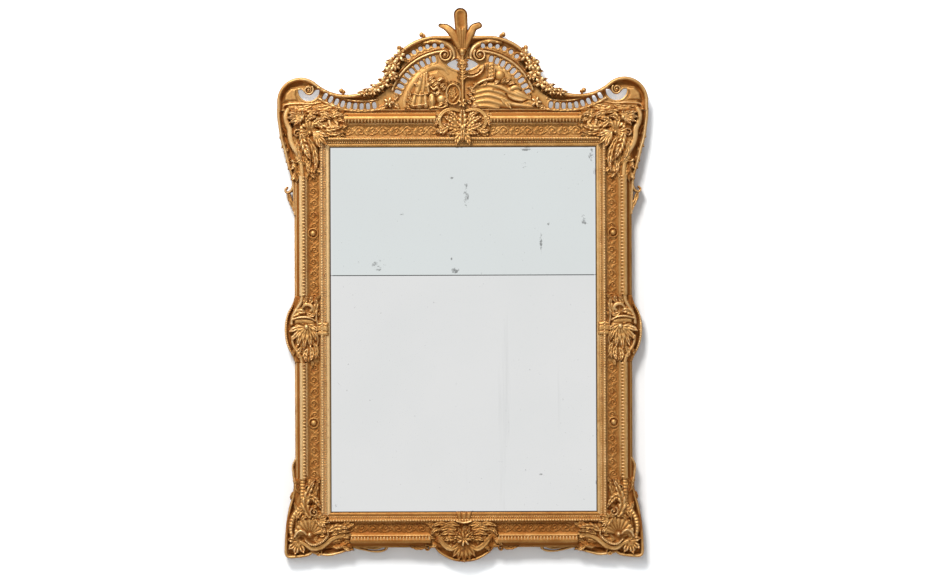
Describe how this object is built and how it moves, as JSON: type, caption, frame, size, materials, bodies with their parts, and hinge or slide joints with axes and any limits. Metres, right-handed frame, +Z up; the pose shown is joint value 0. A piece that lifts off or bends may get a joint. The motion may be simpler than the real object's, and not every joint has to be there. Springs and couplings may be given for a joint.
{
  "type": "wall mirror",
  "caption": "Tall carved and gilded wall mirror with a pierced, plumed crest, shell corners, a divided silvered plate and a boarded back with hanging rings.",
  "frame": {"origin": "on the wall plane, at the middle of the bottom member of the frame", "axes": "+Z up, +X to the viewer's right, +Y into the wall, so the front faces -Y"},
  "size_m": [1.4476, 0.081, 2.151],
  "materials": {
    "gilt_wood": "aged water gilding over red bole, burnished on the high points",
    "carcass_pine": "old planed pine",
    "board_oak": "rough sawn, darkened",
    "button_beech": "worn, hand cut",
    "silvered_glass": "old silvering, slightly grey, with spots along the edges",
    "hanger_iron": "forged, rust brown",
    "screw_steel": "dull"
  },
  "bodies": {
    "frame": {"backboard_ledges": "board_oak", "backboard_lower": "board_oak", "backboard_middle": "board_oak", "backboard_upper": "board_oak", "bottom_cartouche": "gilt_wood", "crest_banner_left": "gilt_wood", "crest_banner_right": "gilt_wood", "crest_battens": "carcass_pine", "crest_dowels": "carcass_pine", "crest_panel": "gilt_wood", "crest_plume": "gilt_wood", "crest_shield": "gilt_wood", "crest_swag_left": "gilt_wood", "crest_swag_right": "gilt_wood", "crest_volute_left": "gilt_wood", "crest_volute_right": "gilt_wood", "crest_wing_left": "gilt_wood", "crest_wing_right": "gilt_wood", "frieze_bosses": "gilt_wood", "glazing_blocks": "board_oak", "hanger_plate_left": "hanger_iron", "hanger_plate_right": "hanger_iron", "lower_corner_left": "gilt_wood", "lower_corner_right": "gilt_wood", "mirror_plate_lower": "silvered_glass", "mirror_plate_upper": "silvered_glass", "outer_moulding_bottom_left": "gilt_wood", "outer_moulding_bottom_right": "gilt_wood", "outer_moulding_left_lower": "gilt_wood", "outer_moulding_left_upper": "gilt_wood", "outer_moulding_right_lower": "gilt_wood", "outer_moulding_right_upper": "gilt_wood", "outer_moulding_top_left": "gilt_wood", "outer_moulding_top_right": "gilt_wood", "rail_bottom": "carcass_pine", "rail_top": "carcass_pine", "shoulder_volute_left": "gilt_wood", "shoulder_volute_right": "gilt_wood", "side_cartouche_left": "gilt_wood", "side_cartouche_right": "gilt_wood", "sight_moulding_bottom": "gilt_wood", "sight_moulding_left": "gilt_wood", "sight_moulding_right": "gilt_wood", "sight_moulding_top": "gilt_wood", "stile_left": "carcass_pine", "stile_right": "carcass_pine", "top_cartouche": "gilt_wood", "upper_corner_left": "gilt_wood", "upper_corner_right": "gilt_wood", "wood_screws": "screw_steel"},
    "ring_left": {"hanging_ring_left": "hanger_iron"},
    "ring_right": {"hanging_ring_right": "hanger_iron"},
    "button_left_upper": {"turn_button_left_upper": "button_beech"},
    "button_left_lower": {"turn_button_left_lower": "button_beech"},
    "button_right_upper": {"turn_button_right_upper": "button_beech"},
    "button_right_lower": {"turn_button_right_lower": "button_beech"},
    "button_top": {"turn_button_top": "button_beech"},
    "button_bottom": {"turn_button_bottom": "button_beech"}
  },
  "joints": [
    {"name": "ring_left_swing", "type": "hinge", "parent": "frame", "child": "ring_left", "pos_m": [-0.603, -0.00725, 1.3855], "axis": [1, 0, 0], "range_deg": [0, 180]},
    {"name": "ring_right_swing", "type": "hinge", "parent": "frame", "child": "ring_right", "pos_m": [0.603, -0.00725, 1.3855], "axis": [1, 0, 0], "range_deg": [0, 180]},
    {"name": "button_left_upper_turn", "type": "hinge", "parent": "frame", "child": "button_left_upper", "pos_m": [-0.5425, -0.0052, 1.1885], "axis": [0, 1, 0], "range_deg": [-90, 90]},
    {"name": "button_left_lower_turn", "type": "hinge", "parent": "frame", "child": "button_left_lower", "pos_m": [-0.5425, -0.0052, 0.3685], "axis": [0, 1, 0], "range_deg": [-90, 90]},
    {"name": "button_right_upper_turn", "type": "hinge", "parent": "frame", "child": "button_right_upper", "pos_m": [0.5425, -0.0052, 1.1885], "axis": [0, 1, 0], "range_deg": [-90, 90]},
    {"name": "button_right_lower_turn", "type": "hinge", "parent": "frame", "child": "button_right_lower", "pos_m": [0.5425, -0.0052, 0.3685], "axis": [0, 1, 0], "range_deg": [-90, 90]},
    {"name": "button_top_turn", "type": "hinge", "parent": "frame", "child": "button_top", "pos_m": [0, -0.0052, 1.513], "axis": [0, 1, 0], "range_deg": [-90, 90]},
    {"name": "button_bottom_turn", "type": "hinge", "parent": "frame", "child": "button_bottom", "pos_m": [0, -0.0052, 0.044], "axis": [0, 1, 0], "range_deg": [-90, 90]}
  ]
}
